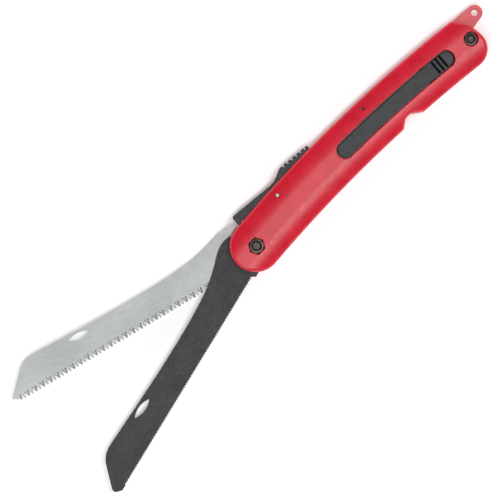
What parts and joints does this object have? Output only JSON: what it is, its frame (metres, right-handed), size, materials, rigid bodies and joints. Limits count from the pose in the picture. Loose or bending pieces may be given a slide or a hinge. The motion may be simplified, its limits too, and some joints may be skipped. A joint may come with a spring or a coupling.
{
  "type": "folding drywall saw",
  "caption": "Folding drywall saw: a coarse and a fine blade fold into a bowed two-shell handle with a lock lever, belt clip and lanyard tab.",
  "frame": {"origin": "where the blade pivot's axis meets the plane that the saw lies on, the outer face of its rear shell", "axes": "+X from the pivot to the handle's tail, +Y to the spine and the lock lever, +Z out of the front shell, along the pivot"},
  "size_m": [0.3532, 0.0937, 0.018],
  "materials": {
    "handle_red": "fine moulded grain, satin",
    "spacer_red": "smooth moulded",
    "lever_grey": "moulded, satin",
    "clip_grey": "moulded, satin",
    "bright_steel": "satin, ground along the blade",
    "black_coated_steel": "matt black coating",
    "black_oxide": "black oxide on steel",
    "plain_steel": "turned",
    "bronze": "rolled strip",
    "nylon_black": "nylon",
    "spring_steel": "drawn wire"
  },
  "bodies": {
    "handle": {"front_shell": "handle_red", "rear_shell": "handle_red", "spine_spacer": "spacer_red", "rear_washer": "bronze", "middle_washer": "bronze", "front_washer": "bronze", "pivot_bush": "plain_steel", "pivot_bolt": "black_oxide", "pivot_nut": "black_oxide", "pivot_nut_insert": "nylon_black", "tail_screw": "black_oxide", "tail_nut": "black_oxide", "tail_nut_insert": "nylon_black", "lever_pin": "plain_steel", "spacer_pin": "black_oxide", "clip_pin": "black_oxide", "lever_spring": "spring_steel", "clip_spring": "spring_steel"},
    "coarse_saw": {"coarse_blade": "bright_steel"},
    "fine_saw": {"fine_blade": "black_coated_steel"},
    "lever": {"lock_lever": "lever_grey"},
    "clip": {"belt_clip": "clip_grey"}
  },
  "joints": [
    {"name": "coarse_fold", "type": "hinge", "parent": "handle", "child": "coarse_saw", "pos_m": [0, 0, 0], "axis": [0, 0, 1], "range_deg": [0, 192.5]},
    {"name": "fine_fold", "type": "hinge", "parent": "handle", "child": "fine_saw", "pos_m": [0, 0, 0], "axis": [0, 0, 1], "range_deg": [-27.96, 164.54]},
    {"name": "lever_rock", "type": "hinge", "parent": "handle", "child": "lever", "pos_m": [0.0292, 0.0123, 0.009], "axis": [0, 0, 1], "range_deg": [0, 9.6], "stiffness_Nm_per_rad": 0.3, "deforming": ["lever_spring"]},
    {"name": "clip_rock", "type": "hinge", "parent": "handle", "child": "clip", "pos_m": [0.14, 0.00042, 0.0145], "axis": [0.0824, 0.9966, 0], "range_deg": [0, 8], "stiffness_Nm_per_rad": 0.15, "deforming": ["clip_spring"]}
  ]
}
